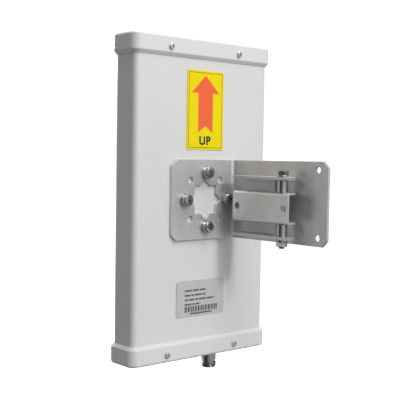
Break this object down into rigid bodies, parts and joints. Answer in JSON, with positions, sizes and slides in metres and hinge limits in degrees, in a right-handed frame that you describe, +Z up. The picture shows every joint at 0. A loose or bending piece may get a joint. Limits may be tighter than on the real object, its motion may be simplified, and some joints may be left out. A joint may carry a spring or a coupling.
{
  "type": "flat panel antenna",
  "caption": "Flat rectangular panel antenna with end caps and a coaxial socket below, on a bent side bracket whose hinged channel fixes to a mast or wall.",
  "frame": {"origin": "centre of the outer face of the mounting channel's web, where the channel meets its mast or wall", "axes": "+Z up along the panel's long side; the panel radiates towards +Y and its back faces -Y; the channel faces its mast or wall towards -X"},
  "size_m": [0.18, 0.1676, 0.3376],
  "materials": {
    "radome": "moulded, weathering-resistant, satin",
    "cap": "moulded, fine grain",
    "sheet_aluminium": "satin sheet",
    "stainless": "bright, turned and cold-headed",
    "zinc_steel": "bright zinc plate",
    "nickel_brass": "nickel plate",
    "gold_contact": "gold flash",
    "ptfe": "turned",
    "rubber": "moulded",
    "laminate": "solder-masked glass laminate",
    "nylon": "natural",
    "cable_jacket": "smooth jacket",
    "label_yellow": "printed vinyl",
    "label_silver": "printed satin foil"
  },
  "bodies": {
    "mast_channel": {"mounting_channel": "sheet_aluminium"},
    "antenna": {"bottom_cap": "cap", "cap_screw_bottom_left": "stainless", "cap_screw_bottom_right": "stainless", "cap_screw_top_left": "stainless", "cap_screw_top_right": "stainless", "connector_body": "nickel_brass", "connector_gasket": "rubber", "connector_insulator": "ptfe", "connector_nut": "nickel_brass", "connector_pin": "gold_contact", "feed_board": "laminate", "feed_cable": "cable_jacket", "flat_washer_bottom": "stainless", "flat_washer_left": "stainless", "flat_washer_right": "stainless", "flat_washer_top": "stainless", "panel_nut_bottom": "zinc_steel", "panel_nut_left": "zinc_steel", "panel_nut_right": "zinc_steel", "panel_nut_top": "zinc_steel", "panel_screw_bottom": "stainless", "panel_screw_left": "stainless", "panel_screw_right": "stainless", "panel_screw_top": "stainless", "patch_post_1": "nylon", "patch_post_2": "nylon", "patch_post_3": "nylon", "patch_post_4": "nylon", "patch_post_5": "nylon", "patch_post_6": "nylon", "pivot_bolt": "zinc_steel", "pivot_nut": "zinc_steel", "pivot_sleeve_bottom": "stainless", "pivot_sleeve_top": "stainless", "pivot_washer_bottom": "stainless", "pivot_washer_top": "stainless", "radiator_patch_1": "sheet_aluminium", "radiator_patch_2": "sheet_aluminium", "radiator_patch_3": "sheet_aluminium", "radiator_patch_4": "sheet_aluminium", "radiator_patch_5": "sheet_aluminium", "radiator_patch_6": "sheet_aluminium", "radome_body": "radome", "rating_label": "label_silver", "reflector": "sheet_aluminium", "side_bracket": "sheet_aluminium", "spring_washer_bottom": "stainless", "spring_washer_left": "stainless", "spring_washer_right": "stainless", "spring_washer_top": "stainless", "top_cap": "cap", "up_label": "label_yellow", "yoke": "sheet_aluminium", "yoke_nut_1": "zinc_steel", "yoke_nut_2": "zinc_steel", "yoke_screw_1": "zinc_steel", "yoke_screw_2": "zinc_steel"}
  },
  "joints": [
    {"name": "azimuth_hinge", "type": "hinge", "parent": "mast_channel", "child": "antenna", "pos_m": [0.0055, -0.0256, 0], "axis": [0, 0, -1], "range_deg": [0, 90]}
  ]
}
